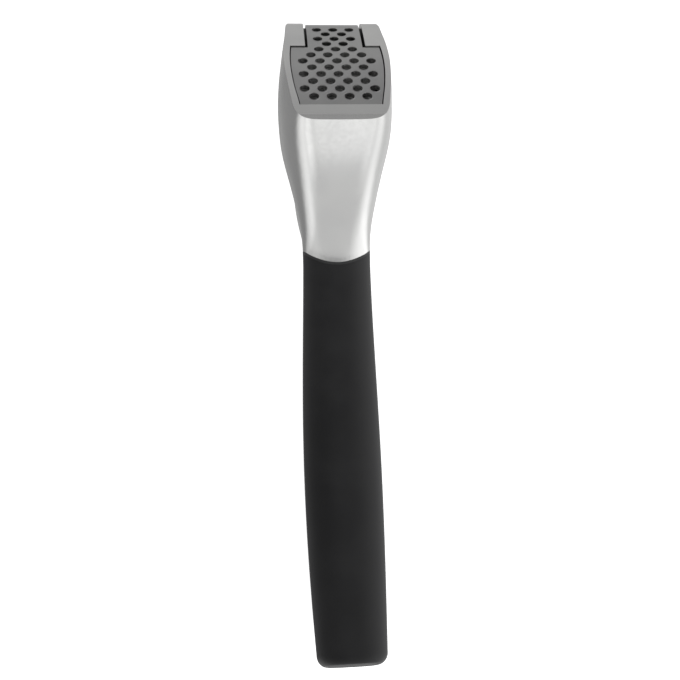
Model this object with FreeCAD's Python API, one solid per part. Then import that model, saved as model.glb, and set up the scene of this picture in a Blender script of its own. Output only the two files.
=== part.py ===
"""Garlic press with a swing-out sieve basket, lying closed on its plunger arm.

Millimetres, +Z up, +Y towards the hinge, origin under the middle of the closed press.
Shapes are drawn with the hinge axis at y = 0 and then moved so that the origin is right.
"""
import FreeCAD, Part
import math
import os

from FreeCAD import Vector

# ---- overall layout, side view -------------------------------------------------------
HINGE_HEIGHT = 27.7        # hinge axis above the table
HEAD_TILT = 36.5           # slope of the sieve, falling towards the hinge, degrees
GRIP_FRONT = 59.4          # foremost metal tip of the grip joint, behind the hinge
GRIP_LENGTH = 107.0        # length of a grip along its centre line

# ---- head of the sieve arm ------------------------------------------------------------
SIEVE_RADIUS = 120.0       # long curve of the sieve and of the face round it
SIEVE_CROWN = 8.85         # highest point of that curve above the hinge axis, square to it
CROWN_BACK = 17.1          # how far behind the hinge that highest point is
SHOULDER_BACK = 11.6       # rear end of the two lugs
RIM_WIDTH = 2.5            # flat rim behind the sieve, before its bevel
RIM_BEVEL_ANGLE = 22.0
SKIRT_DROP = 7.1           # lower edge of the head's side walls below the hinge axis
SKIRT_HEIGHT = HINGE_HEIGHT - SKIRT_DROP
FACE_RECESS = 0.35         # sieve set below the face round it
SKIRT_BACK = 40.0          # rear end of that edge behind the hinge
NECK_START = 50.0          # front end of the neck's underside behind the hinge
NECK_UNDERSIDE = 17.2      # underside of the neck above the table, ahead of the grip
NECK_FALL = 7.2            # how far that underside drops by the end of the metal
JOINT_SPARE = 10.0         # how far side outlines run past the grip joint
SEAT_RIM = 1.3             # sieve plate behind its last row of holes
LUG_CORNER = 2.2           # plan rounding of the lugs' outer front corners
LUG_CORNER_HALF = 12.6     # half width where that rounding ends
SECTIONS_PER_GAP = 3       # sections worked out between two rows of a casting's table

# ---- sieve basket ---------------------------------------------------------------------
TONGUE_HALF = 7.2          # half width of the tongue between the lugs
SHOULDER_HALF = 11.4       # half widths of the sieve plate, front to back
BELLY_HALF = 11.75
WAIST_HALF = 11.1
TAIL_HALF = 9.7
BASKET_TAPER = 0.9         # how much wider each side is at the basket's open end
BASKET_WALL = 1.1
BASKET_DEPTH = 11.0        # open end below the hinge axis, square to the sieve
SIEVE_PLATE = 1.2
CHEEK = 1.5                # thickness of the two ears that hang on the hinge pin
CHEEK_RADIUS = 4.2
EAR_FOOT = 0.5             # where an ear's lower edge meets the front wall, above the hinge
SEAT_CLEARANCE = 0.3       # basket to head, all round
HOLE_DIAMETER = 2.5
HOLE_PITCH = 4.4
ROW_PITCH = 2.87
FIRST_ROW_BACK = 1.3
HOLES_PER_ROW = (3, 2, 3, 2, 3, 4, 5, 4, 5, 4, 5, 4)

# ---- hinge ----------------------------------------------------------------------------
PIN_DIAMETER = 4.0
RUNNING_CLEARANCE = 0.05   # radial, pin in its holes
PIN_HEAD_DIAMETER = 7.0
PIN_HEAD_THICKNESS = 1.4
PIN_SEAT_CLEARANCE = 0.15
PIN_END_SUNK = 0.3         # pin's end inside its cap
LUG_FACE_HALF = 13.2       # flat seats of the pin heads, either side
BUSH_WALL = 0.8
KNUCKLE_RADIUS = 5.5
SIDE_CLEARANCE = 0.3       # knuckle to basket ears
WASHER_GAP = 0.75          # lug to basket ear
WASHER_THICKNESS = 0.55
WASHER_DIAMETER = 12.6

# ---- grips and their tangs -------------------------------------------------------------
GRIP_WIDTHS = (9.45, 10.25, 10.8, 10.4, 9.1)      # half widths, front to back
GRIP_HEIGHTS = (5.8, 6.0, 6.1, 6.0, 5.5)          # half heights, front to back
PLUNGER_GRIP_NARROWER = 1.1                       # each side
PLUNGER_GRIP_FLATTER = 0.6
GRIP_SQUARENESS = 2.9
UPPER_START_Z = 22.4       # centre line of the sieve arm's grip
UPPER_START_SLOPE = -9.0
UPPER_RADIUS = 190.0
LOWER_START_Z = 8.2        # centre line of the plunger arm's grip, down to the table
LOWER_START_SLOPE = -3.1
LOWER_RADIUS = 2400.0
JOINT_RADIUS = 13.5        # curve of the metal's end against the grip
SEAL_THICKNESS = 0.6
SLEEVE_THICKNESS = 1.6
END_CAP_THICKNESS = 2.2
END_ROUNDING = 2.4         # also the width of the sleeve's rolled end round the cap
TANG_HALF_WIDTH = 5.0
TANG_HALF_HEIGHT = 2.4
TANG_SHORTER = 16.0        # tang ends this far before the grip does
SCREW_DIAMETER = 3.0
SCREW_LENGTH = 16.0
SCREW_HEAD_DIAMETER = 5.6
SCREW_HEAD_HEIGHT = 2.0
SCREW_SUNK = 1.0           # below the end cap

# ---- plunger arm and plunger -------------------------------------------------------------
ARM_GAP = 1.2              # sieve arm to plunger arm, closed
ARM_HALF_WIDTH = 11.6
ARM_WALL = 2.6
ARM_FLOOR = 3.0
PAD_FRONT = 16.0           # front end of the flat rest under the head, behind the hinge
PAD_TRIM = 1.2             # cut off the casting's underside for that flat
BRACKET_FRONT = 0.8        # knuckle's bracket behind the hinge, clear of the basket's swing
BRACKET_BACK = 8.0
BRACKET_ROOT = 7.4         # how deep the bracket runs down into the arm
SHELF_FRONT = 2.0          # front edge of the arm's top, ahead of the hinge
PROW_BACK = 3.5            # middle of the arm's curved prow, behind the hinge and up
PROW_HEIGHT = 6.5
PISTON_CLEARANCE = 0.45    # piston to basket, at the sides and ends
PISTON_GAP = 0.9           # piston to sieve, closed
PISTON_THICKNESS = 7.0
STEM_SIDE_GAP = 0.15       # stem to the side walls of its pocket
STEM_END_GAP = 0.5         # stem to the pocket's front and rear
STEM_FRONT = 17.5          # stem between these radii about the hinge
STEM_BACK = 31.0
PLUNGER_PIN_DIAMETER = 4.0
PLUNGER_PIN_BACK = 27.0
PLUNGER_PIN_HEIGHT = 11.5
CLIP_THICKNESS = 0.8
CLIP_DIAMETER = 7.0
BUMPER_DIAMETER = 6.0
BUMPER_BACK = 50.5
BUMPER_DEPTH = 1.6
BUMPER_PROUD = 0.8

SECTION_POINTS = 40
REAR_SPARE = 4.0           # how far cutting solids run past the chamber's rear
TOP_SPARE = 2.0            # how far they run past the sieve's crown
HOLE_SPARE = 1.1           # how far a hole's drill starts above the sieve
LOFT_DEGREE = 3
BIG = 200.0
X_AXIS = Vector(1, 0, 0)
Z_AXIS = Vector(0, 0, 1)
HINGE = Vector(0, 0, HINGE_HEIGHT)


# ---- drawing helpers ----------------------------------------------------------------------
def cylinder_x(radius, x_from, x_to, y, z):
    return Part.makeCylinder(radius, x_to - x_from, Vector(x_from, y, z), X_AXIS)


def block(x_half, y_from, y_to, z_from, z_to):
    corner = Vector(-x_half, y_from, z_from)
    return Part.makeBox(2 * x_half, y_to - y_from, z_to - z_from, corner)


def side_extrusion(edges, x_half):
    """Solid between x = -x_half and x_half over a closed outline in the YZ plane."""
    face = Part.Face(Part.Wire(edges))
    face.translate(Vector(-x_half, 0, 0))
    return face.extrude(Vector(2 * x_half, 0, 0))


def drum(radius, outside=False, half=BIG / 4):
    """Head-frame cylinder about the hinge, or everything outside it."""
    solid = cylinder_x(radius, -half, half, 0, 0)
    return block(half, -BIG, BIG, -BIG, BIG).cut(solid) if outside else solid


def polygon_edges(points):
    vectors = [Vector(0, y, z) for y, z in points]
    pairs = zip(vectors, vectors[1:] + vectors[:1])
    return [Part.makeLine(a, b) for a, b in pairs]


def in_head(shape):
    """Move a shape drawn with the sieve level and the hinge at the origin into the press."""
    moved = shape.copy()
    moved.rotate(Vector(0, 0, 0), X_AXIS, -HEAD_TILT)
    moved.translate(HINGE)
    return moved


def soft_box(centre_y, centre_z, slope, half_width, half_height, squareness, top_half=None):
    """Rounded rectangular outline square to a line that slopes back; it may narrow upwards."""
    top = half_width if top_half is None else top_half
    power = 2.0 / squareness
    lean = math.radians(slope)
    points = []
    for i in range(SECTION_POINTS):
        angle = 2 * math.pi * (i + 0.5) / SECTION_POINTS
        c, s = math.cos(angle), math.sin(angle)
        rise = math.copysign(abs(s) ** power, s)
        width = half_width + (top - half_width) * ((1 + rise) / 2) ** 3
        x = math.copysign(abs(c) ** power, c) * width
        z = rise * half_height
        points.append(Vector(x, centre_y + z * math.sin(lean), centre_z + z * math.cos(lean)))
    curve = Part.BSplineCurve()
    curve.interpolate(points, PeriodicFlag=True)
    return Part.Wire(curve.toShape())


def smooth_curve(stations, values):
    """Smooth curve through values given at rising stations."""
    curve = Part.BSplineCurve()
    points = [Vector(s, v, 0) for s, v in zip(stations, values)]
    curve.interpolate(points, Parameters=list(stations))
    return curve


def smooth_value(values, share):
    """Value at a share of the length of a list of evenly spaced values, along a smooth curve."""
    stations = [i / (len(values) - 1) for i in range(len(values))]
    return smooth_curve(stations, values).value(max(0.0, min(1.0, share))).y


def blended_rows(rows):
    """A table of sections with smooth in-between rows; the first column is the station."""
    rows = sorted(rows)
    stations = [row[0] for row in rows]
    curves = [smooth_curve(stations, column) for column in zip(*rows)]
    places = []
    for start, end in zip(stations, stations[1:]):
        step = (end - start) / SECTIONS_PER_GAP
        places.extend(start + step * i for i in range(SECTIONS_PER_GAP))
    places.append(stations[-1])
    return [[curve.value(place).y for curve in curves] for place in reversed(places)]


# ---- grips ---------------------------------------------------------------------------------
class GripLine:
    """Centre line of a grip: one arc that starts at the neck and runs back."""

    def __init__(self, start_z, start_slope, radius, narrower, flatter):
        self.start_z = start_z
        self.start_slope = start_slope
        self.radius = radius
        self.narrower = narrower
        self.flatter = flatter

    def at(self, distance):
        """y, z and slope, in degrees, at a distance along the line; negative is in the neck."""
        slope = self.start_slope + math.degrees(distance / self.radius)
        mean = math.radians((slope + self.start_slope) / 2)
        y = -GRIP_FRONT - distance * math.cos(mean)
        z = self.start_z + distance * math.sin(mean)
        return y, z, slope

    def outline(self, distance, inset=0.0):
        y, z, slope = self.at(distance)
        share = distance / GRIP_LENGTH
        half_width = smooth_value(GRIP_WIDTHS, share) - self.narrower - inset
        half_height = smooth_value(GRIP_HEIGHTS, share) - self.flatter - inset
        return soft_box(y, z, slope, half_width, half_height, GRIP_SQUARENESS)

    def table_row(self, distance):
        """The outline as a row of the sieve arm's table of sections."""
        y, z, slope = self.at(distance)
        share = distance / GRIP_LENGTH
        half_width = smooth_value(GRIP_WIDTHS, share) - self.narrower
        half_height = smooth_value(GRIP_HEIGHTS, share) - self.flatter
        sizes = (z - half_height, z + half_height, half_width, half_width)
        return (-y, *sizes, GRIP_SQUARENESS, slope)

    def loft(self, start, end, inset=0.0):
        steps = 8
        stations = [start + (end - start) * i / steps for i in range(steps + 1)]
        return Part.makeLoft([self.outline(s, inset) for s in stations], True, False)

    def bar(self, start, end, half_width, half_height):
        """Flat bar of constant section along the line."""
        steps = 6
        wires = []
        for i in range(steps + 1):
            y, z, slope = self.at(start + (end - start) * i / steps)
            lean = math.radians(slope)
            up = Vector(0, math.sin(lean), math.cos(lean)) * half_height
            side = X_AXIS * half_width
            middle = Vector(0, y, z)
            corners = [middle + side + up, middle - side + up, middle - side - up, middle + side - up]
            wires.append(Part.makePolygon(corners + corners[:1]))
        return Part.makeLoft(wires, True, False)

    def direction(self, distance):
        """Unit vector that points back along the line."""
        lean = math.radians(self.at(distance)[2])
        return Vector(0, -math.cos(lean), math.sin(lean))

    def point(self, distance):
        y, z, _ = self.at(distance)
        return Vector(0, y, z)


UPPER = GripLine(UPPER_START_Z, UPPER_START_SLOPE, UPPER_RADIUS, 0.0, 0.0)
LOWER = GripLine(
    LOWER_START_Z, LOWER_START_SLOPE, LOWER_RADIUS, PLUNGER_GRIP_NARROWER, PLUNGER_GRIP_FLATTER
)
NECK_OVERLAP = 7.0         # the neck's last stretch already has the grip's outline
TANG_LENGTH = GRIP_LENGTH - TANG_SHORTER


def joint_cylinder(radius):
    """Upright cylinder whose rear is the curved end of the metal."""
    centre_y = -GRIP_FRONT + JOINT_RADIUS
    return Part.makeCylinder(radius, BIG, Vector(0, centre_y, -BIG / 2))


def behind_joint(shape, radius):
    """The part of a shape that lies behind the joint's curved end."""
    front_half = block(BIG, -GRIP_FRONT + JOINT_RADIUS, BIG, -BIG, BIG)
    return shape.cut(joint_cylinder(radius)).cut(front_half)


def grip_parts(line):
    """Core, sleeve, end cap, seal and screw of one grip, all hidden joints included."""
    cap_start = GRIP_LENGTH - END_CAP_THICKNESS
    whole = line.loft(-NECK_OVERLAP, GRIP_LENGTH)
    end_face = max(whole.Faces, key=lambda f: f.CenterOfMass.dot(line.direction(GRIP_LENGTH)))
    whole = whole.makeFillet(END_ROUNDING, end_face.Edges)
    inner = line.loft(-NECK_OVERLAP, cap_start, SLEEVE_THICKNESS)
    cap = line.loft(cap_start, GRIP_LENGTH, END_ROUNDING)
    cap_room = line.loft(cap_start, GRIP_LENGTH + END_ROUNDING, END_ROUNDING)
    tang = line.bar(-NECK_OVERLAP, TANG_LENGTH, TANG_HALF_WIDTH, TANG_HALF_HEIGHT)
    screw, screw_room = grip_screw(line)

    seal_radius = JOINT_RADIUS + SEAL_THICKNESS
    seal = behind_joint(whole, JOINT_RADIUS).common(joint_cylinder(seal_radius)).cut(tang)
    sleeve = behind_joint(whole, seal_radius).cut(inner).cut(cap_room)
    core = behind_joint(inner, seal_radius).cut(tang).cut(screw_room)
    return {"seal": seal, "sleeve": sleeve, "core": core, "end_cap": cap, "screw": screw}


def grip_screw(line):
    """Countersunk screw through the core's end into the tang, and the room that it fills."""
    back = line.direction(TANG_LENGTH)
    head_top = line.point(GRIP_LENGTH - END_CAP_THICKNESS) - back * SCREW_SUNK
    head_foot = head_top - back * SCREW_HEAD_HEIGHT
    tip = head_foot - back * SCREW_LENGTH
    radii = (SCREW_DIAMETER / 2, SCREW_HEAD_DIAMETER / 2)
    head = Part.makeCone(radii[0], radii[1], SCREW_HEAD_HEIGHT, head_foot, back)
    shank = Part.makeCylinder(radii[0], SCREW_LENGTH, tip, back)
    screw = shank.fuse(head).removeSplitter()
    well = Part.makeCylinder(radii[1], BIG, head_top, back)
    return screw, screw.fuse(well)


# ---- sieve arm --------------------------------------------------------------------------------
def sieve_height(back, drop=0.0):
    """Height of the sieve's curve, square to it, at a distance behind the hinge."""
    radius = SIEVE_RADIUS - drop
    return SIEVE_CROWN - drop - radius + math.sqrt(radius**2 - (back - CROWN_BACK) ** 2)


def under_sieve(drop, front, back, floor):
    """Head-frame solid below the sieve's curve, wide enough to cut with."""
    points = [Vector(0, -b, sieve_height(b, drop)) for b in (front, (front + back) / 2, back)]
    low_back, low_front = Vector(0, -back, floor), Vector(0, -front, floor)
    edges = [
        Part.Arc(*points).toShape(),
        Part.makeLine(points[2], low_back),
        Part.makeLine(low_back, low_front),
        Part.makeLine(low_front, points[0]),
    ]
    return side_extrusion(edges, BIG / 4)


def nose_radius(drop=0.0):
    """Radius about the hinge that meets the sieve's curve without a corner."""
    radius = SIEVE_RADIUS - drop
    return radius - math.hypot(CROWN_BACK, SIEVE_CROWN - SIEVE_RADIUS)


def insert_half_width(back):
    """Half width of the sieve plate behind its shoulders, at its outer face."""
    reach = basket_reach()
    share = (back - SHOULDER_BACK) / (reach - SHOULDER_BACK)
    return smooth_value((SHOULDER_HALF, BELLY_HALF, WAIST_HALF, TAIL_HALF), share)


def basket_reach():
    """Radius about the hinge of the basket's rear wall, outside."""
    last_row = FIRST_ROW_BACK + ROW_PITCH * (len(HOLES_PER_ROW) - 1)
    return last_row + HOLE_DIAMETER / 2 + SIEVE_PLATE + SEAT_RIM


def tapered_room(grow, level_top, level_low, taper=BASKET_TAPER):
    """Tapered well with the plan of the sieve plate, grown sideways by an allowance."""
    front, back = 0.0, basket_reach() + REAR_SPARE
    wires = []
    for level, widen in ((level_top, 0.0), (level_low, taper)):
        stations = [front + (back - front) * i / 8 for i in range(9)]
        left = [Vector(-insert_half_width(s) - grow - widen, -s, level) for s in stations]
        right = [Vector(-p.x, p.y, p.z) for p in reversed(left)]
        side_a, side_b = Part.BSplineCurve(), Part.BSplineCurve()
        side_a.interpolate(left)
        side_b.interpolate(right)
        rear = Part.makeLine(left[-1], right[0])
        nose = Part.makeLine(right[-1], left[0])
        wires.append(Part.Wire([side_a.toShape(), rear, side_b.toShape(), nose]))
    return Part.makeLoft(wires, True, True)


CAST_SECTIONS = (
    # behind hinge, bottom, top, half width low, half width at the top, squareness, slope
    (50.5, 16.6, 32.4, 9.9, 8.5, 3.3, -6.0),
    (43.6, 15.6, 38.4, 11.1, 9.2, 3.9, -3.0),
    (35.5, 15.0, 48.0, 12.9, 10.4, 4.8, 0.0),
    (28.5, 15.0, 57.8, 14.5, 11.0, 6.5, 0.0),
    (21.0, 14.0, 66.0, 15.3, 8.6, 9.0, 0.0),
    (11.0, 14.0, 66.0, 15.3, 8.4, 9.0, 0.0),
    (1.0, 14.0, 66.0, 13.9, 8.4, 9.0, 0.0),
    (-9.0, 14.0, 66.0, 12.5, 8.4, 9.0, 0.0),
)


def casting_blank():
    """Outer skin of the sieve arm's metal, before its face and underside are cut."""
    wires = []
    rows = (*CAST_SECTIONS, UPPER.table_row(2.0), UPPER.table_row(-3.0))
    for back, bottom, top, half_low, half_top, squareness, slope in blended_rows(rows):
        middle, half = (bottom + top) / 2, (top - bottom) / 2
        wires.append(soft_box(-back, middle, slope, half_low, half, squareness, half_top))
    return Part.makeLoft(wires, True, False, False, LOFT_DEGREE)


def head_side_view():
    """Everything that the head and neck may fill, seen from the side."""
    face = in_head(under_sieve(0.0, 0.0, GRIP_FRONT, -BIG / 2))
    rear = -GRIP_FRONT - JOINT_SPARE
    nose = cylinder_x(nose_radius(), -BIG / 4, BIG / 4, 0, HINGE_HEIGHT)
    underside = side_extrusion(
        polygon_edges(
            (
                (nose_radius(), SKIRT_HEIGHT),
                (-SKIRT_BACK, SKIRT_HEIGHT),
                (-NECK_START, NECK_UNDERSIDE),
                (rear, NECK_UNDERSIDE - NECK_FALL),
                (rear, BIG),
                (nose_radius(), BIG),
            )
        ),
        BIG / 4,
    )
    return face.common(underside).fuse(nose)


def behind_front(distance):
    """Head-frame space behind the chamber's front: flat above the hinge, round it below."""
    above = block(BIG / 4, -BIG, -distance, 0, BIG)
    below = block(BIG / 4, -BIG, 0, -BIG, 0).cut(drum(distance))
    return above.fuse(below)


def chamber_room():
    """Room that the basket and the plunger need in the head, down through its underside."""
    well = tapered_room(SEAT_CLEARANCE, SIEVE_CROWN + TOP_SPARE, -BASKET_DEPTH)
    skirt_room = SEAT_CLEARANCE + BASKET_TAPER
    deep = tapered_room(skirt_room, -BASKET_DEPTH, -3 * BASKET_DEPTH, 0.0)
    well = well.fuse(deep).common(drum(basket_reach() + SEAT_CLEARANCE))
    well = well.common(behind_front(SHOULDER_BACK))
    slot = block(TONGUE_HALF + WASHER_GAP, -SHOULDER_BACK - 0.01, BIG, -BIG, BIG)
    return in_head(well.fuse(slot))


def in_front_of_joint():
    front = block(BIG, -GRIP_FRONT + JOINT_RADIUS, BIG, -BIG, BIG)
    return joint_cylinder(JOINT_RADIUS).fuse(front)


def rim_bevel():
    """Wedge that takes the corner off the rim where the face turns into the neck."""
    start = basket_reach() + SEAT_CLEARANCE + RIM_WIDTH
    wedge = block(BIG / 4, -BIG / 4, 0.0, 0.0, BIG / 4)
    wedge.rotate(Vector(0, 0, 0), X_AXIS, RIM_BEVEL_ANGLE)
    wedge.translate(Vector(0, -start, sieve_height(start)))
    return in_head(wedge)


def lug_corners():
    """What the rounding of the lugs' outer front corners takes away."""
    centre_x, centre_y = LUG_CORNER_HALF - LUG_CORNER, nose_radius() - LUG_CORNER
    cutter = Part.makeBox(BIG, BIG, BIG, Vector(centre_x, centre_y, -BIG / 2))
    post = Part.makeCylinder(LUG_CORNER, BIG, Vector(centre_x, centre_y, -BIG / 2))
    right = cutter.cut(post)
    return right.fuse(right.mirror(Vector(0, 0, 0), X_AXIS))


def pin_bore():
    return cylinder_x(PIN_DIAMETER / 2 + RUNNING_CLEARANCE, -BIG, BIG, 0, HINGE_HEIGHT)


def sieve_arm():
    body = casting_blank().common(head_side_view()).common(in_front_of_joint())
    body = body.cut(rim_bevel()).cut(lug_corners()).cut(chamber_room())
    body = body.fuse(UPPER.bar(-NECK_OVERLAP, TANG_LENGTH, TANG_HALF_WIDTH, TANG_HALF_HEIGHT))
    body = body.cut(grip_screw(UPPER)[0]).cut(pin_bore())
    seat_radius = PIN_HEAD_DIAMETER / 2 + PIN_SEAT_CLEARANCE
    seat_start = LUG_FACE_HALF - PIN_HEAD_THICKNESS
    for x_from, x_to in ((seat_start, BIG / 4), (-BIG / 4, -seat_start)):
        body = body.cut(cylinder_x(seat_radius, x_from, x_to, 0, HINGE_HEIGHT))
    return body


# ---- sieve basket --------------------------------------------------------------------------
def sieve_basket():
    """Perforated T-shaped plate with the walls of the pressing chamber and two hinge ears."""
    front = SHOULDER_BACK + SEAT_CLEARANCE
    reach = basket_reach()
    outer = tapered_room(0.0, SIEVE_CROWN + TOP_SPARE, -BASKET_DEPTH)
    outer = outer.common(drum(reach)).common(behind_front(front))
    outer = outer.common(under_sieve(FACE_RECESS, 0.0, reach + REAR_SPARE, -BIG))
    inner = tapered_room(-BASKET_WALL, SIEVE_CROWN + TOP_SPARE, -BASKET_DEPTH)
    inner = inner.fuse(tapered_room(-BASKET_WALL + BASKET_TAPER, -BASKET_DEPTH, -2 * BASKET_DEPTH, 0.0))
    inner = inner.common(drum(reach - BASKET_WALL)).common(behind_front(front + BASKET_WALL))
    inner = inner.common(under_sieve(FACE_RECESS + SIEVE_PLATE, 0.0, reach + REAR_SPARE, -BIG))
    body = outer.cut(inner).fuse(tongue())
    body = body.cut(cylinder_x(PIN_DIAMETER / 2 + RUNNING_CLEARANCE, -BIG, BIG, 0, 0))
    return in_head(body.cut(Part.makeCompound(sieve_holes())))


def rounded_front(drop):
    """Head-frame solid under the sieve's curve, rounded over about the hinge."""
    behind = under_sieve(drop, 0.0, SHOULDER_BACK * 2, -BIG)
    return behind.fuse(drum(nose_radius(drop)))


def tongue():
    shell = rounded_front(FACE_RECESS).cut(rounded_front(FACE_RECESS + SIEVE_PLATE))
    span = block(TONGUE_HALF, -SHOULDER_BACK - 2 * BASKET_WALL, BIG, CHEEK_RADIUS / 2, BIG)
    tongue_plate = shell.common(span)
    ear_outline = polygon_edges(
        (
            (-SHOULDER_BACK - BASKET_WALL, SIEVE_CROWN),
            (-SHOULDER_BACK - BASKET_WALL, EAR_FOOT),
            (0.0, -CHEEK_RADIUS),
            (CHEEK_RADIUS, 0.0),
            (nose_radius(), CHEEK_RADIUS / 2),
            (nose_radius(), SIEVE_CROWN),
        )
    )
    ears = side_extrusion(ear_outline, TONGUE_HALF).common(rounded_front(FACE_RECESS))
    ears = ears.cut(block(BIG, 0, BIG, -BIG, 0))
    ears = ears.fuse(cylinder_x(CHEEK_RADIUS, -TONGUE_HALF, TONGUE_HALF, 0, 0))
    between = block(TONGUE_HALF - CHEEK, -BIG, BIG, -BIG, BIG)
    return ears.cut(between).fuse(tongue_plate)


def sieve_holes():
    depth = SIEVE_PLATE + 2 * HOLE_SPARE
    holes = []
    for row, count in enumerate(HOLES_PER_ROW):
        back = FIRST_ROW_BACK + row * ROW_PITCH
        top = sieve_height(back) + HOLE_SPARE
        for i in range(count):
            x = (i - (count - 1) / 2) * HOLE_PITCH
            foot = Vector(x, -back, top - depth)
            holes.append(Part.makeCylinder(HOLE_DIAMETER / 2, depth, foot, Z_AXIS))
    return holes


# ---- plunger arm ------------------------------------------------------------------------------
ARM_SECTIONS = (
    # behind hinge, bottom, top, half width, squareness
    (50.5, 1.4, 18.0, 8.9, 3.3),
    (43.0, -0.4, 22.0, 10.4, 4.0),
    (34.0, -1.2, 28.0, 11.3, 5.0),
    (22.0, -1.2, 28.0, ARM_HALF_WIDTH, 5.0),
    (8.0, -1.2, 28.0, ARM_HALF_WIDTH - 0.3, 5.0),
    (-8.0, -1.2, 28.0, ARM_HALF_WIDTH - 1.0, 5.0),
)


def arm_blank():
    wires = [LOWER.outline(2.0), LOWER.outline(-3.0)]
    for back, bottom, top, half, squareness in ARM_SECTIONS:
        wires.append(soft_box(-back, (bottom + top) / 2, 0.0, half, (top - bottom) / 2, squareness))
    return Part.makeLoft(wires, True, False, False, LOFT_DEGREE)


def arm_side_view():
    """Side outline of the plunger arm behind and below its knuckle."""
    top = SKIRT_HEIGHT - ARM_GAP
    front_top, front_low = Vector(0, SHELF_FRONT, top), Vector(0, -PAD_FRONT, -PAD_TRIM)
    middle = Vector(0, -PROW_BACK, PROW_HEIGHT)
    rear = -GRIP_FRONT - JOINT_SPARE
    outline = [
        front_low,
        Vector(0, rear, -PAD_TRIM),
        Vector(0, rear, NECK_UNDERSIDE - ARM_GAP),
        Vector(0, -NECK_START, NECK_UNDERSIDE - ARM_GAP),
        Vector(0, -SKIRT_BACK, top),
        front_top,
    ]
    edges = [Part.makeLine(a, b) for a, b in zip(outline, outline[1:])]
    edges.append(Part.Arc(front_top, middle, front_low).toShape())
    return side_extrusion(edges, BIG / 4)


def plunger_arm():
    body = arm_blank().common(arm_side_view()).common(in_front_of_joint())
    half = TONGUE_HALF - CHEEK - SIDE_CLEARANCE
    shelf = SKIRT_HEIGHT - ARM_GAP
    bracket = (
        (-KNUCKLE_RADIUS, HINGE_HEIGHT),
        (-BRACKET_FRONT, HINGE_HEIGHT),
        (-BRACKET_FRONT, shelf - BRACKET_ROOT),
        (-BRACKET_BACK, shelf - BRACKET_ROOT),
        (-BRACKET_BACK, shelf),
    )
    body = body.fuse(side_extrusion(polygon_edges(bracket), half))
    body = body.fuse(cylinder_x(KNUCKLE_RADIUS, -half, half, 0, HINGE_HEIGHT))
    body = body.fuse(LOWER.bar(-NECK_OVERLAP, TANG_LENGTH, TANG_HALF_WIDTH, TANG_HALF_HEIGHT))
    body = body.cut(stem_pocket()).cut(grip_screw(LOWER)[0])
    body = body.cut(cylinder_x(bush_radius(), -BIG, BIG, 0, HINGE_HEIGHT))
    for x_from, x_to in ((ARM_HALF_WIDTH, BIG / 4), (-BIG / 4, -ARM_HALF_WIDTH)):
        seat = (CLIP_DIAMETER / 2 + SEAT_CLEARANCE, x_from, x_to)
        body = body.cut(cylinder_x(*seat, -PLUNGER_PIN_BACK, PLUNGER_PIN_HEIGHT))
    return body.cut(plunger_pin()).cut(bumper()).cut(block(BIG, -BIG, BIG, -BIG, 0.0))


def bush_radius():
    return PIN_DIAMETER / 2 + RUNNING_CLEARANCE + BUSH_WALL


def hinge_bush():
    half = TONGUE_HALF - CHEEK - SIDE_CLEARANCE
    return cylinder_x(bush_radius(), -half, half, 0, HINGE_HEIGHT).cut(pin_bore())


def stem_pocket():
    half = ARM_HALF_WIDTH - ARM_WALL
    ring = cylinder_x(STEM_BACK + STEM_END_GAP, -half, half, 0, HINGE_HEIGHT)
    ring = ring.cut(cylinder_x(STEM_FRONT - STEM_END_GAP, -half, half, 0, HINGE_HEIGHT))
    return ring.common(block(half, -2 * STEM_BACK, 0, ARM_FLOOR, BIG))


def plunger():
    """Piston with the curve of the sieve, and its stem down into the plunger arm."""
    fit = BASKET_WALL + PISTON_CLEARANCE
    rear = basket_reach() + REAR_SPARE
    drop = FACE_RECESS + SIEVE_PLATE + PISTON_GAP
    piston = tapered_room(-fit, SIEVE_CROWN + TOP_SPARE, -BASKET_DEPTH, 0.0)
    piston = piston.common(drum(basket_reach() - fit)).common(under_sieve(drop, 0.0, rear, -BIG))
    piston = piston.common(behind_front(SHOULDER_BACK + SEAT_CLEARANCE + fit))
    piston = piston.cut(under_sieve(drop + PISTON_THICKNESS, 0.0, rear, -BIG))
    half = ARM_HALF_WIDTH - ARM_WALL - STEM_SIDE_GAP
    stem = drum(STEM_BACK, False, half).cut(drum(STEM_FRONT, False, half))
    stem = stem.common(under_sieve(drop + PISTON_THICKNESS / 2, 0.0, rear, -BIG))
    stem = in_head(stem).common(block(BIG, -BIG, 0, ARM_FLOOR + STEM_SIDE_GAP, BIG))
    return in_head(piston).fuse(stem).cut(plunger_pin())


def plunger_pin():
    half = ARM_HALF_WIDTH + CLIP_THICKNESS
    return cylinder_x(PLUNGER_PIN_DIAMETER / 2, -half, half, -PLUNGER_PIN_BACK, PLUNGER_PIN_HEIGHT)


def plunger_pin_clips():
    rings = []
    for x_from in (ARM_HALF_WIDTH, -ARM_HALF_WIDTH - CLIP_THICKNESS):
        width = (CLIP_DIAMETER / 2, x_from, x_from + CLIP_THICKNESS)
        disc = cylinder_x(*width, -PLUNGER_PIN_BACK, PLUNGER_PIN_HEIGHT)
        rings.append(disc.cut(plunger_pin()))
    return Part.makeCompound(rings)


def bumper():
    foot = Vector(0, -BUMPER_BACK, NECK_UNDERSIDE - ARM_GAP - BUMPER_DEPTH)
    return Part.makeCylinder(BUMPER_DIAMETER / 2, BUMPER_DEPTH + BUMPER_PROUD, foot, Z_AXIS)


# ---- hinge pin ------------------------------------------------------------------------------
def hinge_pin():
    seat = LUG_FACE_HALF - PIN_HEAD_THICKNESS
    shank = cylinder_x(PIN_DIAMETER / 2, -seat, LUG_FACE_HALF - PIN_END_SUNK, 0, HINGE_HEIGHT)
    head = cylinder_x(PIN_HEAD_DIAMETER / 2, -LUG_FACE_HALF, -seat, 0, HINGE_HEIGHT)
    return shank.fuse(head).removeSplitter()


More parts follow.
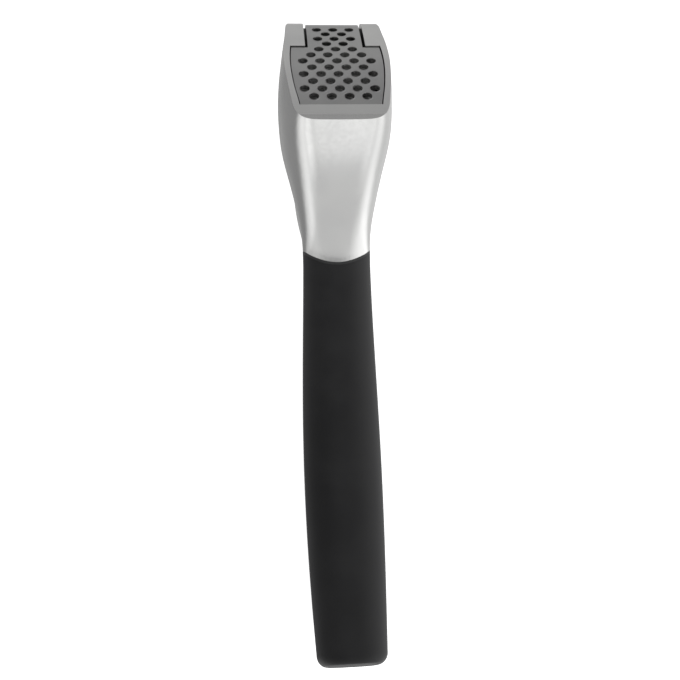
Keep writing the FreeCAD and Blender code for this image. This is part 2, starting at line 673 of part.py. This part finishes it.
def hinge_pin_cap():
    seat = LUG_FACE_HALF - PIN_HEAD_THICKNESS
    disc = cylinder_x(PIN_HEAD_DIAMETER / 2, seat, LUG_FACE_HALF, 0, HINGE_HEIGHT)
    return disc.cut(hinge_pin())


def hinge_washers():
    middle = TONGUE_HALF + WASHER_GAP / 2
    rings = []
    for centre in (middle, -middle):
        start = centre - WASHER_THICKNESS / 2
        disc = cylinder_x(WASHER_DIAMETER / 2, start, start + WASHER_THICKNESS, 0, HINGE_HEIGHT)
        rings.append(disc.cut(pin_bore()))
    return Part.makeCompound(rings)


def build():
    pieces = {
        "sieve_arm": sieve_arm(),
        "sieve_basket": sieve_basket(),
        "plunger_arm": plunger_arm(),
        "plunger": plunger(),
        "plunger_pin": plunger_pin(),
        "plunger_pin_clips": plunger_pin_clips(),
        "stop_bumper": bumper(),
        "hinge_pin": hinge_pin(),
        "hinge_pin_cap": hinge_pin_cap(),
        "hinge_bush": hinge_bush(),
        "hinge_washers": hinge_washers(),
    }
    for arm, line in (("sieve", UPPER), ("plunger", LOWER)):
        for name, piece in grip_parts(line).items():
            pieces[f"{arm}_grip_{name}"] = piece.cut(block(BIG, -BIG, BIG, -BIG, 0.0))
    return pieces


def main():
    os.makedirs("parts", exist_ok=True)
    pieces = build()
    box = Part.makeCompound(list(pieces.values())).optimalBoundingBox()
    middle = (box.YMin + box.YMax) / 2
    for name, piece in pieces.items():
        piece.translate(Vector(0, -middle, 0))
        piece.exportStep(f"parts/{name}.step")
        print(name, piece.isValid(), len(piece.Solids), round(piece.Volume, 1))
    print(f"hinge axis at y = {-middle:.4f}, z = {HINGE_HEIGHT}")
    print(f"overall {box.XLength:.2f} x {box.YLength:.2f} x {box.ZLength:.2f}, floor {box.ZMin:.3f}")


main()
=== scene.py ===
"""Looks for a garlic press that lies closed on its plunger arm.

Metres, +Z up, +Y towards the hinge. The CAD nodes stay where they are. The grips are rebuilt
in mesh code round the same lines, and every other node gets a procedural finish of its own.
"""

import logging
import math
from dataclasses import dataclass, field
from enum import Enum
from typing import Iterable, Sequence

import bmesh
import bpy
import numpy as np
from mathutils import Euler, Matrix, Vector


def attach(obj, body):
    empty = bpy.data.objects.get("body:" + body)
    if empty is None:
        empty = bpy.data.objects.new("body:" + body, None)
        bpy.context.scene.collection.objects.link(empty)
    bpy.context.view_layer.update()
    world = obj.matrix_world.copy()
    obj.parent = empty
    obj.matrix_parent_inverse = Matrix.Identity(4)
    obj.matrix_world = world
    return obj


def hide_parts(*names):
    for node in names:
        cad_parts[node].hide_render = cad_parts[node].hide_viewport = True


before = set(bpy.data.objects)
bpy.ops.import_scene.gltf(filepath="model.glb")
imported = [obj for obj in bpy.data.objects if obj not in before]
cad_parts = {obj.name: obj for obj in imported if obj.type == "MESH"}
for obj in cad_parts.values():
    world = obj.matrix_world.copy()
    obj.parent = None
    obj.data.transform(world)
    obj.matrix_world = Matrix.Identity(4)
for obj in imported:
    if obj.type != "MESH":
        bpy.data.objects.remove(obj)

LOG = logging.getLogger("garlic_press")
MM = 0.001
HINGE_Y = 0.0797326
HINGE_Z = 0.0277

# Shared by every finish: factors between which a colour changes, and octaves of noise.
TINT_START, TINT_END = 0.35, 0.65
CLOUD_DETAIL, GRAIN_DETAIL = 3.0, 5.0
EVEN = (1.0, 1.0, 1.0)


class Body(Enum):
    """Rigid bodies of the press that pieces ride on."""

    PLUNGER_SIDE = "plunger_side"
    SIEVE_SIDE = "sieve_side"
    BASKET = "basket"


class Slot(Enum):
    """Names of the record's material slots."""

    SIEVE_STEEL = "sieve_steel"
    GRIP_BLACK = "grip_black"
    CAP_BLACK = "cap_black"


# ---- node materials ------------------------------------------------------------------------------
class Sheet:
    """A node tree with short calls for adding and linking nodes."""

    def __init__(self, name: str) -> None:
        """Start an empty material.

        Args:
            name: name of the material.
        """
        self.material = bpy.data.materials.new(name)
        self.material.use_nodes = True
        self.tree = self.material.node_tree
        self.tree.nodes.clear()
        self.out = self.add("ShaderNodeOutputMaterial")
        self.shader = self.add("ShaderNodeBsdfPrincipled")
        self.tree.links.new(self.shader.outputs["BSDF"], self.out.inputs["Surface"])

    def add(self, kind: str, **values: object) -> bpy.types.Node:
        """Add a node.

        Args:
            kind: Blender's name for the node's type.
            **values: attributes, or input sockets written with an in_ prefix.

        Returns:
            The new node.
        """
        node = self.tree.nodes.new(kind)
        for key, value in values.items():
            if key.startswith("in_"):
                node.inputs[key[3:].replace("_", " ")].default_value = value
            else:
                setattr(node, key, value)
        return node

    def link(self, source: bpy.types.NodeSocket, node: bpy.types.Node, socket: str | int) -> None:
        """Join an output to an input.

        Args:
            source: output socket.
            node: node that takes the value.
            socket: name or index of its input.
        """
        self.tree.links.new(source, node.inputs[socket])

    def set(self, **values: object) -> None:
        """Set constants on the main shader.

        Args:
            **values: socket names with underscores for spaces.
        """
        for key, value in values.items():
            self.shader.inputs[key.replace("_", " ")].default_value = value

    def noise(self, scale: Sequence[float], detail: float, size: float) -> bpy.types.NodeSocket:
        """Noise in object space.

        Args:
            scale: stretch along x, y and z.
            detail: octaves.
            size: overall scale.

        Returns:
            The noise's factor socket.
        """
        coords = self.add("ShaderNodeTexCoord")
        mapping = self.add("ShaderNodeMapping", in_Scale=scale)
        noise = self.add("ShaderNodeTexNoise", in_Scale=size, in_Detail=detail)
        self.link(coords.outputs["Object"], mapping, "Vector")
        self.link(mapping.outputs["Vector"], noise, "Vector")
        return noise.outputs[0]

    def span(self, source: bpy.types.NodeSocket, low: float, high: float,
             start: float = 0.3, end: float = 0.7) -> bpy.types.NodeSocket:
        """Map a factor from one range to another.

        Args:
            source: factor socket.
            low: result at start.
            high: result at end.
            start: factor that gives low.
            end: factor that gives high.

        Returns:
            The mapped socket.
        """
        node = self.add("ShaderNodeMapRange", in_From_Min=start, in_From_Max=end,
                        in_To_Min=low, in_To_Max=high)
        self.link(source, node, "Value")
        return node.outputs["Result"]

    def tint(self, source: bpy.types.NodeSocket, low: Sequence[float], high: Sequence[float]) -> None:
        """Drive the base colour between two colours.

        Args:
            source: factor socket.
            low: colour up to TINT_START.
            high: colour from TINT_END.
        """
        ramp = self.add("ShaderNodeValToRGB")
        for stop, place, colour in zip(ramp.color_ramp.elements, (TINT_START, TINT_END), (low, high)):
            stop.position = place
            stop.color = (*colour, 1.0)
        self.link(source, ramp, "Fac")
        self.link(ramp.outputs["Color"], self.shader, "Base Color")

    def bump(self, source: bpy.types.NodeSocket, depth: float) -> None:
        """Add bump to the main shader.

        Args:
            source: height socket.
            depth: height of the relief in metres.
        """
        node = self.add("ShaderNodeBump", in_Distance=depth, in_Strength=1.0)
        self.link(source, node, "Height")
        self.link(node.outputs["Normal"], self.shader, "Normal")


@dataclass(frozen=True)
class Metal:
    """Bare metal with faint grain."""

    name: str
    low: tuple[float, float, float]
    high: tuple[float, float, float]
    rough_low: float
    rough_high: float
    grain: tuple[float, float, float] = EVEN
    grain_size: float = 900.0
    relief: float = 2e-6
    cloud_size: float = 60.0
    face_axis: tuple[float, float, float] | None = None
    face_rougher: float = 0.2
    face_start: float = 0.93
    face_end: float = 0.97

    def make(self) -> bpy.types.Material:
        """Build the material.

        Returns:
            The node material.
        """
        sheet = Sheet(self.name)
        sheet.set(Metallic=1.0)
        cloud = sheet.noise(EVEN, CLOUD_DETAIL, self.cloud_size)
        grain = sheet.noise(self.grain, GRAIN_DETAIL, self.grain_size)
        sheet.tint(cloud, self.low, self.high)
        rough = sheet.span(grain, self.rough_low, self.rough_high)
        if self.face_axis is not None:
            rough = self.add_face(sheet, rough)
        sheet.link(rough, sheet.shader, "Roughness")
        sheet.bump(grain, self.relief)
        return sheet.material

    def add_face(self, sheet: Sheet, rough: bpy.types.NodeSocket) -> bpy.types.NodeSocket:
        """Blasted finish on the surfaces that face one way.

        Args:
            sheet: the material's nodes.
            rough: roughness elsewhere.

        Returns:
            Roughness with the rougher face added.
        """
        coords = sheet.add("ShaderNodeTexCoord")
        dot = sheet.add("ShaderNodeVectorMath", operation="DOT_PRODUCT")
        dot.inputs[1].default_value = Vector(self.face_axis).normalized()
        sheet.link(coords.outputs["Normal"], dot, 0)
        facing = dot.outputs["Value"]
        extra = sheet.span(facing, 0.0, self.face_rougher, self.face_start, self.face_end)
        total = sheet.add("ShaderNodeMath")
        sheet.link(rough, total, 0)
        sheet.link(extra, total, 1)
        return total.outputs[0]


@dataclass(frozen=True)
class SoftBlack:
    """Moulded black rubber or plastic with a fine matte grain."""

    name: str
    low: tuple[float, float, float]
    high: tuple[float, float, float]
    rough_low: float
    rough_high: float
    specular: float = 0.4
    grain_size: float = 2600.0
    cloud_size: float = 90.0
    relief: float = 1.2e-5

    def make(self) -> bpy.types.Material:
        """Build the material.

        Returns:
            The node material.
        """
        sheet = Sheet(self.name)
        sheet.set(Specular_IOR_Level=self.specular)
        cloud = sheet.noise(EVEN, CLOUD_DETAIL, self.cloud_size)
        grain = sheet.noise(EVEN, GRAIN_DETAIL, self.grain_size)
        sheet.tint(cloud, self.low, self.high)
        sheet.link(sheet.span(cloud, self.rough_low, self.rough_high), sheet.shader, "Roughness")
        sheet.bump(grain, self.relief)
        return sheet.material


# Square to the head's rim round the sieve, which is blasted rather than polished.
FACE_AXIS = (0.0, 0.5948, 0.8039)
CASTING = Metal("polished_casting", (0.67, 0.67, 0.665), (0.72, 0.72, 0.71), 0.2, 0.26,
                face_axis=FACE_AXIS)
SIEVE = Metal("brushed_sieve", (0.40, 0.40, 0.40), (0.46, 0.46, 0.455), 0.3, 0.42,
              grain=(1.0, 12.0, 12.0), grain_size=500.0, relief=3e-6)
PINS = Metal("satin_pins", (0.55, 0.55, 0.54), (0.6, 0.6, 0.59), 0.25, 0.34,
             grain=(1.0, 6.0, 6.0), grain_size=500.0)
RUBBER = SoftBlack("grip_rubber", (0.011, 0.011, 0.012), (0.016, 0.016, 0.017), 0.42, 0.5)
CAPS = SoftBlack("cap_plastic", (0.03, 0.03, 0.031), (0.04, 0.04, 0.041), 0.5, 0.6)
INSERT = SoftBlack("inner_plastic", (0.1, 0.1, 0.1), (0.14, 0.14, 0.14), 0.5, 0.6)
BUSHES = SoftBlack("bush_plastic", (0.6, 0.59, 0.55), (0.68, 0.67, 0.63), 0.4, 0.5)


# ---- meshes --------------------------------------------------------------------------------------
def mesh_object(name: str, points: Iterable[Sequence[float]], faces: Iterable[Sequence[int]],
                material: bpy.types.Material) -> bpy.types.Object:
    """Make a smooth-shaded object.

    Args:
        name: name of the object.
        points: vertices, in metres.
        faces: vertex numbers of each face.
        material: its finish.

    Returns:
        The linked object.
    """
    mesh = bpy.data.meshes.new(name)
    mesh.from_pydata([tuple(p) for p in points], [], [tuple(f) for f in faces])
    mesh.validate()
    work = bmesh.new()
    work.from_mesh(mesh)
    bmesh.ops.recalc_face_normals(work, faces=work.faces)
    work.to_mesh(mesh)
    work.free()
    mesh.shade_smooth()
    mesh.materials.append(material)
    made = bpy.data.objects.new(name, mesh)
    bpy.context.scene.collection.objects.link(made)
    return made


def skin(name: str, rings: Sequence[Sequence[Sequence[float]]],
         material: bpy.types.Material) -> bpy.types.Object:
    """Skin closed rings of equal length and close both ends with a fan.

    Args:
        name: name of the object.
        rings: rings of points, first to last.
        material: its finish.

    Returns:
        The linked object.
    """
    count = len(rings[0])
    points = [p for ring in rings for p in ring]
    faces: list[tuple[int, ...]] = []
    for i in range(len(rings) - 1):
        for j in range(count):
            k = (j + 1) % count
            faces.append((i * count + j, i * count + k, (i + 1) * count + k, (i + 1) * count + j))
    for ring, start in ((rings[0], 0), (rings[-1], (len(rings) - 1) * count)):
        middle = np.mean(np.array(ring), axis=0)
        hub = len(points)
        points.append(tuple(middle))
        faces.extend((start + j, start + (j + 1) % count, hub) for j in range(count))
    return mesh_object(name, points, faces, material)


def dress(node: str, finish: bpy.types.Material, sharp_angle: float = 28.0) -> bpy.types.Object:
    """Give a CAD node its finish, smooth between faces that meet at less than an angle.

    Args:
        node: name of the CAD node.
        finish: its material.
        sharp_angle: angle in degrees beyond which an edge stays sharp.

    Returns:
        The node's object.
    """
    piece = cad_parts[node]
    piece.data.materials.clear()
    piece.data.materials.append(finish)
    piece.data.shade_smooth()
    piece.data.set_sharp_from_angle(angle=math.radians(sharp_angle))
    LOG.info("dressed %s with %s", node, finish.name)
    return piece


# ---- grips ---------------------------------------------------------------------------------------
@dataclass(frozen=True)
class GripCurve:
    """Line and sections of one grip: an arc that starts at the neck and runs back."""

    start_z: float
    start_slope: float
    radius: float
    narrower: float = 0.0
    flatter: float = 0.0
    front: float = 0.0594
    length: float = 0.107
    half_widths: tuple[float, ...] = (9.45, 10.25, 10.8, 10.4, 9.1)
    half_heights: tuple[float, ...] = (5.8, 6.0, 6.1, 6.0, 5.5)
    squareness: float = 2.9

    def at(self, distance: float) -> tuple[float, float, float]:
        """Place on the line.

        Args:
            distance: distance along it from the neck, in metres.

        Returns:
            y, z and slope in radians.
        """
        start = math.radians(self.start_slope)
        slope = start + distance / self.radius
        mean = (slope + start) / 2
        y = HINGE_Y - self.front - distance * math.cos(mean)
        return y, self.start_z + distance * math.sin(mean), slope

    def half_size(self, distance: float) -> tuple[float, float]:
        """Half width and half height of the section.

        Args:
            distance: distance along the line.

        Returns:
            Both in metres.
        """
        share = min(max(distance / self.length, 0.0), 1.0)
        spread = np.linspace(0.0, 1.0, len(self.half_widths))
        width = np.polyval(np.polyfit(spread, self.half_widths, 4), share)
        height = np.polyval(np.polyfit(spread, self.half_heights, 4), share)
        return width * MM - self.narrower, height * MM - self.flatter

    def point(self, distance: float, angle: float, inset: float = 0.0,
              upright: float = 1.0) -> tuple[float, float, float]:
        """Point on the skin.

        Args:
            distance: distance along the line.
            angle: angle round the section in radians.
            inset: how far inside the skin.
            upright: share of the inset that counts up and down.

        Returns:
            x, y and z.
        """
        y, z, slope = self.at(distance)
        half_width, half_height = self.half_size(distance)
        power = 2.0 / self.squareness
        c, s = math.cos(angle), math.sin(angle)
        x = math.copysign(abs(c) ** power, c) * (half_width - inset)
        rise = math.copysign(abs(s) ** power, s) * (half_height - inset * upright)
        return x, y + rise * math.sin(slope), max(z + rise * math.cos(slope), 0.0)


@dataclass
class Grip:
    """Rubber sleeve, end cap and seal round the tang of one arm."""

    arm: str
    body: Body
    curve: GripCurve
    joint_radius: float = 0.0135
    seal: float = 0.0006
    end_rounding: float = 0.0024
    end_length: float = 0.0026
    end_upright: float = 0.42
    end_steps: int = 18
    end_lip: tuple[tuple[float, float], ...] = ((0.0002, 0.00015), (0.0012, 0.0002))
    cap_groove: float = 0.00022
    cap_rounding: float = 0.0003
    cap_steps: int = 4
    cap_sunk: float = 0.0001
    cap_depth: float = 0.002
    front_rounding: float = 0.00045
    front_steps: int = 5
    front_lip: tuple[float, float] = (0.0004, 0.0016)
    seal_share: float = 0.35
    search_reach: float = 0.02
    search_steps: int = 40
    stations: int = 150
    around: int = 144

    def angles(self) -> list[float]:
        """Angles round the section.

        Returns:
            Evenly spaced angles in radians, none of them on an axis.
        """
        return [2 * math.pi * (j + 0.5) / self.around for j in range(self.around)]

    def front_distance(self, angle: float, gap: float) -> float:
        """Where the sleeve's curved front edge crosses one line of the skin.

        Args:
            angle: angle round the section.
            gap: distance behind the metal's curved end.

        Returns:
            Distance along the line.
        """
        radius = self.joint_radius + gap
        centre = HINGE_Y - self.curve.front + self.joint_radius
        low, high = -self.search_reach, self.search_reach
        for _ in range(self.search_steps):
            middle = (low + high) / 2
            x, y, _ = self.curve.point(middle, angle)
            edge = centre - math.sqrt(max(radius**2 - x**2, 0.0))
            low, high = (middle, high) if y > edge else (low, middle)
        return (low + high) / 2

    def edge_profile(self, rounding: float, steps: int,
                     length: float | None = None) -> list[tuple[float, float]]:
        """Quarter-round profile.

        Args:
            rounding: radius across the grip.
            steps: number of points.
            length: radius along the grip, if it differs.

        Returns:
            Pairs of distance from the end face and inset, outermost point first.
        """
        turns = [math.pi / 2 * i / (steps - 1) for i in range(steps)]
        along = rounding if length is None else length
        return [(along * (1 - math.sin(t)), rounding * (1 - math.cos(t))) for t in turns]

    def sleeve(self, finish: bpy.types.Material) -> bpy.types.Object:
        """Build the sleeve.

        Args:
            finish: its material.

        Returns:
            The sleeve.
        """
        angles = self.angles()
        fronts = [self.front_distance(a, self.seal * self.seal_share) for a in angles]
        length = self.curve.length
        lip_depth, lip_inset = self.front_lip
        rings = [[self.curve.point(f + lip_depth, a, lip_inset) for f, a in zip(fronts, angles)]]
        for along, inset in reversed(self.edge_profile(self.front_rounding, self.front_steps)):
            rings.append([self.curve.point(f + along, a, inset) for f, a in zip(fronts, angles)])
        body_start, body_end = self.front_rounding, length - self.end_length
        for i in range(1, self.stations):
            share = i / self.stations
            ring = []
            for f, a in zip(fronts, angles):
                start = f + body_start
                ring.append(self.curve.point(start + (body_end - start) * share, a))
            rings.append(ring)
        for along, inset in self.edge_profile(self.end_rounding, self.end_steps, self.end_length):
            rings.append([self.curve.point(length - along, a, inset, self.end_upright) for a in angles])
        for depth, inset in self.end_lip:
            edge = self.end_rounding + inset
            rings.append([self.curve.point(length - depth, a, edge, self.end_upright) for a in angles])
        return skin(f"{self.arm}_sleeve_skin", rings, finish)

    def cap(self, finish: bpy.types.Material) -> bpy.types.Object:
        """Build the flat end cap with its rounded edge.

        Args:
            finish: its material.

        Returns:
            The cap.
        """
        angles = self.angles()
        length = self.curve.length
        edge = self.end_rounding + self.cap_groove
        back = length - self.cap_depth
        rings = [[self.curve.point(back, a, edge, self.end_upright) for a in angles]]
        for along, inset in self.edge_profile(self.cap_rounding, self.cap_steps):
            place = length - self.cap_sunk - along
            rings.append([self.curve.point(place, a, edge + inset, self.end_upright) for a in angles])
        return skin(f"{self.arm}_cap_skin", rings, finish)

    def build(self) -> list[bpy.types.Object]:
        """Build, dress and place the grip.

        Returns:
            Its new pieces.
        """
        sleeve = self.sleeve(RUBBER.make())
        cap = self.cap(CAPS.make())
        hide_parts(f"{self.arm}_grip_sleeve")
        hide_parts(f"{self.arm}_grip_end_cap")
        for piece in (sleeve, cap):
            piece.visible_glossy = False
            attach(piece, self.body.value)
            LOG.info("built %s", piece.name)
        dress(f"{self.arm}_grip_seal", CAPS.make())
        dress(f"{self.arm}_grip_core", INSERT.make())
        dress(f"{self.arm}_grip_screw", PINS.make())
        return [sleeve, cap]


# ---- metal parts ---------------------------------------------------------------------------------
@dataclass
class MetalWork:
    """The cast arms, the sieve basket, the plunger and the pins."""

    castings: tuple[str, ...] = ("sieve_arm", "plunger_arm", "plunger")
    pins: tuple[str, ...] = ("hinge_pin", "hinge_pin_cap", "plunger_pin", "plunger_pin_clips")

    def build(self) -> None:
        """Dress every metal node and the small plastic ones beside them."""
        casting, pins = CASTING.make(), PINS.make()
        for node in self.castings:
            dress(node, casting)
        dress("sieve_basket", SIEVE.make())
        for node in self.pins:
            dress(node, pins)
        dress("stop_bumper", RUBBER.make())
        dress("hinge_bush", BUSHES.make())
        dress("hinge_washers", CAPS.make())


@dataclass
class SieveHoles:
    """Rolled rims round the holes of the sieve plate."""

    rows: tuple[int, ...] = (3, 2, 3, 2, 3, 4, 5, 4, 5, 4, 5, 4)
    pitch: float = 0.0044
    row_pitch: float = 0.00287
    first_row: float = 0.0013
    tilt: float = 36.5
    curve_radius: float = 0.120
    crown: float = 0.00885
    crown_back: float = 0.0171
    recess: float = 0.00035
    profile: tuple[tuple[float, float], ...] = (
        (1.235, -0.32), (1.235, -0.12), (1.26, -0.03), (1.32, 0.025),
        (1.41, 0.03), (1.5, 0.008), (1.52, -0.03),
    )
    around: int = 40

    def surface(self, x: float, back: float, lift: float) -> Vector:
        """Point over the sieve's curve.

        Args:
            x: place across.
            back: distance behind the hinge along the sieve.
            lift: height above the plate's outer face.

        Returns:
            The point in the row frame.
        """
        radius = self.curve_radius - self.recess + lift
        centre = self.crown - self.curve_radius
        height = centre + math.sqrt(radius**2 - (back - self.crown_back) ** 2)
        lean = math.radians(self.tilt)
        y = HINGE_Y - back * math.cos(lean) + height * math.sin(lean)
        return Vector((x, y, HINGE_Z + back * math.sin(lean) + height * math.cos(lean)))

    def build(self) -> bpy.types.Object:
        """Build all the rims as one piece on the basket.

        Returns:
            The rims.
        """
        points: list[Vector] = []
        faces: list[tuple[int, ...]] = []
        for row, count in enumerate(self.rows):
            for i in range(count):
                centre = ((i - (count - 1) / 2) * self.pitch, self.first_row + row * self.row_pitch)
                self.add_rim(centre, points, faces)
        rims = mesh_object("sieve_hole_rims", points, faces, SIEVE.make())
        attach(rims, Body.BASKET.value)
        LOG.info("built %d rims", sum(self.rows))
        return rims

    def add_rim(self, centre: tuple[float, float], points: list[Vector],
                faces: list[tuple[int, ...]]) -> None:
        """Add one rim to the lists of points and faces.

        Args:
            centre: place across and behind the hinge.
            points: vertices so far.
            faces: faces so far.
        """
        start = len(points)
        for radius, lift in self.profile:
            for k in range(self.around):
                angle = 2 * math.pi * k / self.around
                x = centre[0] + radius * MM * math.cos(angle)
                back = centre[1] + radius * MM * math.sin(angle)
                points.append(self.surface(x, back, lift * MM))
        for ring in range(len(self.profile) - 1):
            for k in range(self.around):
                a = start + ring * self.around + k
                b = start + ring * self.around + (k + 1) % self.around
                faces.append((a, b, b + self.around, a + self.around))


# ---- studio --------------------------------------------------------------------------------------
@dataclass(frozen=True)
class Lobe:
    """A soft patch of light in the room's walls."""

    direction: tuple[float, float, float]
    start: float
    end: float
    gain: float
    smooth: bool = True


@dataclass
class Studio:
    """Pale floor, soft light and the camera above the press."""

    camera_place: tuple[float, float, float] = (-0.016776, -0.013976, 0.246167)
    camera_turn: tuple[float, float, float] = (3.5085, -4.2597, -1.7771)
    lens: float = 42.353
    sensor_width: float = 36.0
    nearest: float = 0.01
    floor_half: float = 5.0
    floor_drop: float = 0.0002
    floor_glow: float = 0.85
    floor_cloud: tuple[float, float] = (2.0, 8.0)
    base_glow: float = 0.09
    lobes: list[Lobe] = field(
        default_factory=lambda: [
            Lobe((0.0, -1.0, 0.1), 0.2, 0.8, 0.78),
            Lobe((0.05, -1.0, -0.09), 0.975, 1.0, 0.8),
            Lobe((-0.33, -1.0, -0.14), 0.975, 1.0, 0.75),
            Lobe((0.36, -1.0, -0.12), 0.975, 1.0, 0.6),
            Lobe((-0.8, -0.6, -0.2), 0.8, 1.0, 0.45),
            Lobe((0.8, -0.6, -0.2), 0.8, 1.0, 0.2),
            Lobe((0.87, 0.0, 0.5), 0.5, 1.0, 1.5, False),
            Lobe((-0.9, 0.0, 0.45), 0.5, 1.0, 0.4, False),
            Lobe((1.0, 0.0, -0.9), 0.3, 0.95, 0.85),
            Lobe((0.0, 1.0, -0.35), 0.6, 0.95, 0.58),
            Lobe((0.0, 0.7, 0.75), 0.8, 1.0, 0.36),
            Lobe((-1.0, 0.0, -0.8), 0.2, 0.95, 0.28),
        ]
    )

    def floor(self) -> bpy.types.Object:
        """Lay a plain pale floor.

        Returns:
            The floor.
        """
        sheet = Sheet("pale_floor")
        cloud = sheet.noise(EVEN, *self.floor_cloud)
        sheet.tint(cloud, (0.93, 0.93, 0.93), (0.95, 0.95, 0.95))
        sheet.set(Roughness=0.9, Emission_Color=(1.0, 1.0, 1.0, 1.0), Emission_Strength=self.floor_glow)
        h, z = self.floor_half, -self.floor_drop
        corners = [(-h, -h, z), (h, -h, z), (h, h, z), (-h, h, z)]
        laid = mesh_object("floor", corners, [(0, 1, 2, 3)], sheet.material)
        laid.visible_glossy = False
        return laid

    def world(self) -> None:
        """Light the room from all round with soft lobes of brightness on a dim base."""
        world = bpy.data.worlds.new("studio")
        bpy.context.scene.world = world
        world.use_nodes = True
        tree = world.node_tree
        tree.nodes.clear()
        out = tree.nodes.new("ShaderNodeOutputWorld")
        glow = tree.nodes.new("ShaderNodeBackground")
        coords = tree.nodes.new("ShaderNodeTexCoord")
        total: bpy.types.NodeSocket | None = None
        for patch in self.lobes:
            dot = tree.nodes.new("ShaderNodeVectorMath")
            dot.operation = "DOT_PRODUCT"
            dot.inputs[1].default_value = Vector(patch.direction).normalized()
            tree.links.new(coords.outputs["Generated"], dot.inputs[0])
            lobe = tree.nodes.new("ShaderNodeMapRange")
            lobe.interpolation_type = "SMOOTHSTEP" if patch.smooth else "LINEAR"
            lobe.inputs["From Min"].default_value = patch.start
            lobe.inputs["From Max"].default_value = patch.end
            lobe.inputs["To Max"].default_value = patch.gain
            tree.links.new(dot.outputs["Value"], lobe.inputs["Value"])
            join = tree.nodes.new("ShaderNodeMath")
            join.inputs[1].default_value = self.base_glow
            tree.links.new(lobe.outputs["Result"], join.inputs[0])
            if total is not None:
                tree.links.new(total, join.inputs[1])
            total = join.outputs[0]
        tree.links.new(total, glow.inputs["Strength"])
        tree.links.new(glow.outputs[0], out.inputs["Surface"])

    def build(self) -> None:
        """Place the floor, the light and the camera."""
        self.floor()
        self.world()
        camera = bpy.data.cameras.new("camera")
        camera.lens = self.lens
        camera.sensor_width = self.sensor_width
        camera.clip_start = self.nearest
        holder = bpy.data.objects.new("camera", camera)
        holder.location = self.camera_place
        holder.rotation_euler = Euler([math.radians(a) for a in self.camera_turn])
        bpy.context.scene.collection.objects.link(holder)
        bpy.context.scene.camera = holder
        bpy.context.scene.view_settings.view_transform = "Standard"
        LOG.info("studio ready")


def main() -> None:
    """Build every part of the scene in order."""
    logging.basicConfig(level=logging.INFO)
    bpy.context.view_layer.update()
    upper = GripCurve(start_z=0.0224, start_slope=-9.0, radius=0.190)
    lower = GripCurve(start_z=0.0082, start_slope=-3.1, radius=2.4, narrower=0.0011, flatter=0.0006)
    MetalWork().build()
    SieveHoles().build()
    Grip("sieve", Body.SIEVE_SIDE, upper).build()
    Grip("plunger", Body.PLUNGER_SIDE, lower).build()
    Studio().build()


if __name__ == "__main__":
    main()
